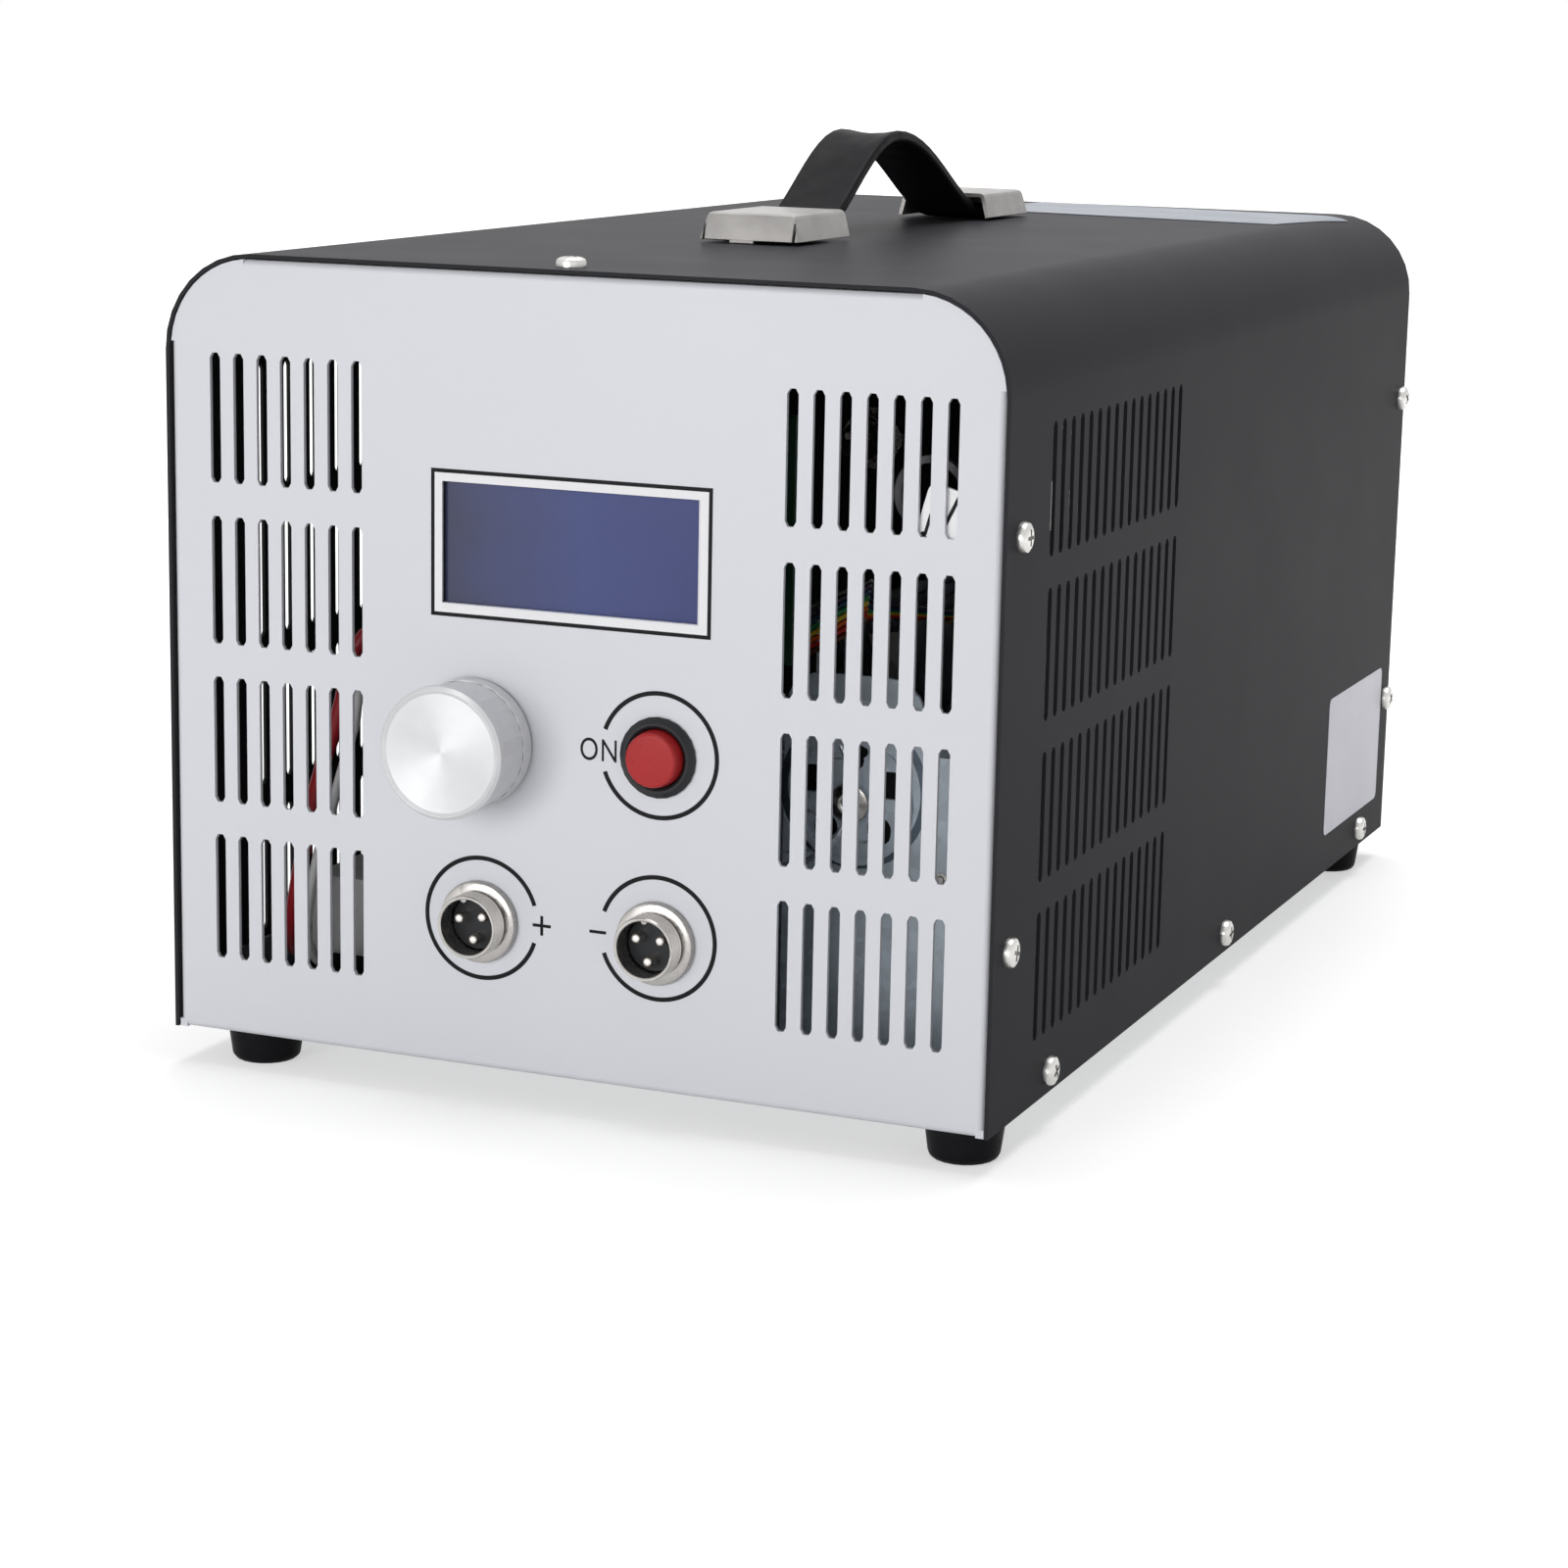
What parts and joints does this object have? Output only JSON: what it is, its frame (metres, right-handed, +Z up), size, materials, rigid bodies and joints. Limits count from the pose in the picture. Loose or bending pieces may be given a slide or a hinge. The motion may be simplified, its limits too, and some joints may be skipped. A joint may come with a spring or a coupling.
{
  "type": "battery capacity tester",
  "caption": "Bench battery discharge tester: folded steel case with vent slots, carry strap, display, turning push knob, power button and round battery sockets.",
  "frame": {"origin": "on the bench, under the middle of the bounding box", "axes": "-Y towards the user from the front panel, +Y to the rear panel, +X to the user's right, +Z up"},
  "size_m": [0.228, 0.419, 0.242],
  "materials": {
    "cover_paint": "charcoal powder coat, fine texture",
    "panel_paint": "light grey powder coat",
    "nickel": "nickel plate",
    "satin_aluminium": "turned, satin anodised",
    "brushed_steel": "brushed",
    "galvanised_steel": "galvanised",
    "black_rubber": "matt",
    "black_plastic": "moulded",
    "red_plastic": "moulded",
    "circuit_board": "green solder resist",
    "display_blue": "unlit blue liquid crystal display",
    "grey_plastic": "moulded",
    "red_insulation": "extruded insulation",
    "grey_insulation": "extruded insulation"
  },
  "bodies": {
    "case": {"top_cover": "cover_paint", "front_panel": "panel_paint", "rear_panel": "cover_paint", "base_tray": "brushed_steel", "foot_front_left": "black_rubber", "foot_front_right": "black_rubber", "foot_rear_left": "black_rubber", "foot_rear_right": "black_rubber", "handle_strap": "black_rubber", "handle_cap_front": "brushed_steel", "handle_cap_rear": "brushed_steel", "encoder_body": "black_plastic", "encoder_nut": "nickel", "encoder_board": "circuit_board", "power_switch_body": "black_plastic", "power_switch_nut": "black_plastic", "positive_socket_shell": "nickel", "positive_socket_insert": "black_plastic", "positive_socket_nut": "nickel", "negative_socket_shell": "nickel", "negative_socket_insert": "black_plastic", "negative_socket_nut": "nickel", "data_socket_shell": "nickel", "data_socket_insert": "black_plastic", "data_socket_nut": "nickel", "display_glass": "display_blue", "display_frame": "galvanised_steel", "display_board": "circuit_board", "control_board": "circuit_board", "motor_bracket": "galvanised_steel", "motor_can": "galvanised_steel", "load_heatsink": "satin_aluminium", "power_board": "circuit_board", "supply_case": "galvanised_steel", "supply_board": "circuit_board", "relay_module": "grey_plastic", "battery_wire_red": "red_insulation", "battery_wire_grey": "grey_insulation", "ribbon_cable": "grey_insulation", "exhaust_fan_frame": "black_plastic", "fan_guard": "nickel", "mains_inlet": "black_plastic"},
    "encoder_rotor": {"encoder_rotor": "black_plastic"},
    "knob": {"knob": "satin_aluminium", "encoder_shaft": "nickel"},
    "power_button": {"power_button": "red_plastic"},
    "exhaust_fan_rotor": {"exhaust_fan_rotor": "black_plastic"},
    "fan_impeller": {"fan_impeller": "black_plastic"},
    "fuse_drawer": {"fuse_drawer": "grey_plastic"}
  },
  "joints": [
    {"name": "knob_turn", "type": "hinge", "parent": "case", "child": "encoder_rotor", "pos_m": [-0.0255, -0.1765, 0.09465], "axis": [0, 1, 0], "continuous": true},
    {"name": "knob_press", "type": "slide", "parent": "encoder_rotor", "child": "knob", "axis": [0, 1, 0], "range_m": [0, 0.0005], "stiffness_N_per_m": 6000, "springref_m": -0.0005},
    {"name": "power_press", "type": "slide", "parent": "case", "child": "power_button", "axis": [0, 1, 0], "range_m": [0, 0.003], "stiffness_N_per_m": 400, "springref_m": -0.003},
    {"name": "exhaust_fan_spin", "type": "hinge", "parent": "case", "child": "exhaust_fan_rotor", "pos_m": [0.044, 0.1874, 0.1076], "axis": [0, 1, 0], "continuous": true},
    {"name": "impeller_spin", "type": "hinge", "parent": "case", "child": "fan_impeller", "pos_m": [0.059, -0.1, 0.079], "axis": [0, 1, 0], "continuous": true},
    {"name": "fuse_drawer_pull", "type": "slide", "parent": "case", "child": "fuse_drawer", "axis": [0, 1, 0], "range_m": [0, 0.015]}
  ]
}
